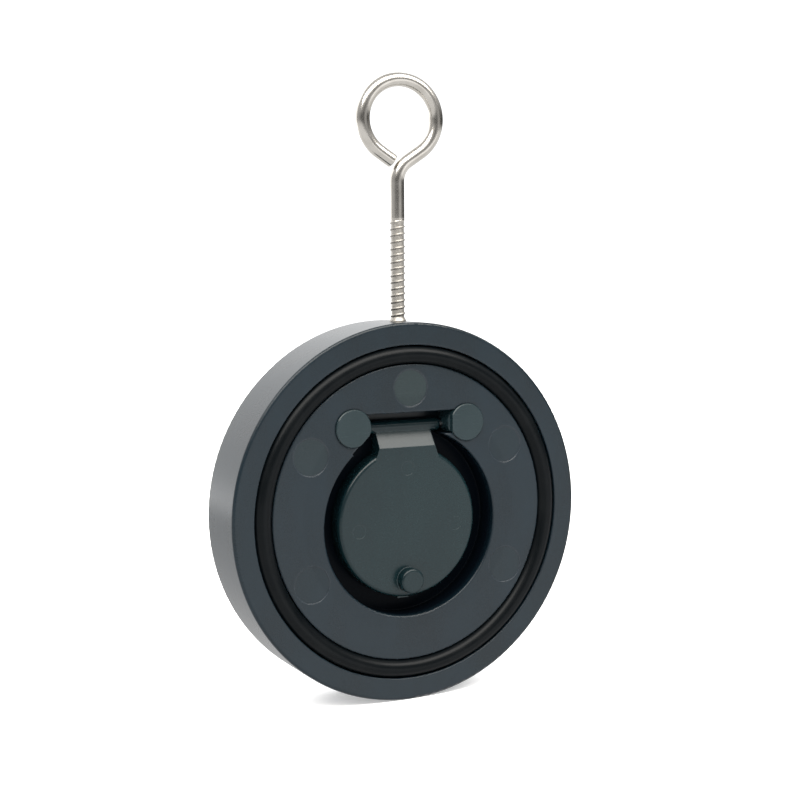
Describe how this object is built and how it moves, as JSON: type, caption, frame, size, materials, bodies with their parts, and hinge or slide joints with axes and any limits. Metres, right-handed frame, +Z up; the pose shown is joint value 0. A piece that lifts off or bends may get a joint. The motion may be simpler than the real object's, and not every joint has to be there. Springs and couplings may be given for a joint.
{
  "type": "wafer check valve",
  "caption": "Plastic wafer swing check valve: a disc clamped between pipe flanges, with a hinged flap, O-ring seals on both faces and a screw eye on top.",
  "frame": {"origin": "centre of the disc, on its axis and half way between the two sealing faces", "axes": "+Y is against the opening flap: flow enters at the back (+Y) and leaves at the front (-Y). +Z is up, towards the eye screw. +X is to the right seen from the front."},
  "size_m": [0.109, 0.0218, 0.1795],
  "materials": {
    "grey_plastic": "satin moulded rigid PVC, dark blue-grey",
    "flap_plastic": "satin moulded rigid PVC, dark grey, a little greener",
    "black_rubber": "smooth black EPDM rubber",
    "bright_steel": "bright drawn steel wire with a duller rolled thread",
    "pin_steel": "ground stainless steel"
  },
  "bodies": {
    "body": {"valve_body": "grey_plastic", "outlet_face_ring": "black_rubber", "inlet_face_ring": "black_rubber", "hinge_pin": "pin_steel", "left_hinge_plug": "flap_plastic", "right_hinge_plug": "flap_plastic", "eye_screw": "bright_steel"},
    "flap": {"flap": "flap_plastic", "flap_ring": "black_rubber"}
  },
  "joints": [
    {"name": "flap_hinge", "type": "hinge", "parent": "body", "child": "flap", "pos_m": [0, -0.0028, 0.0244], "axis": [-1, 0, 0], "range_deg": [0, 85]}
  ]
}
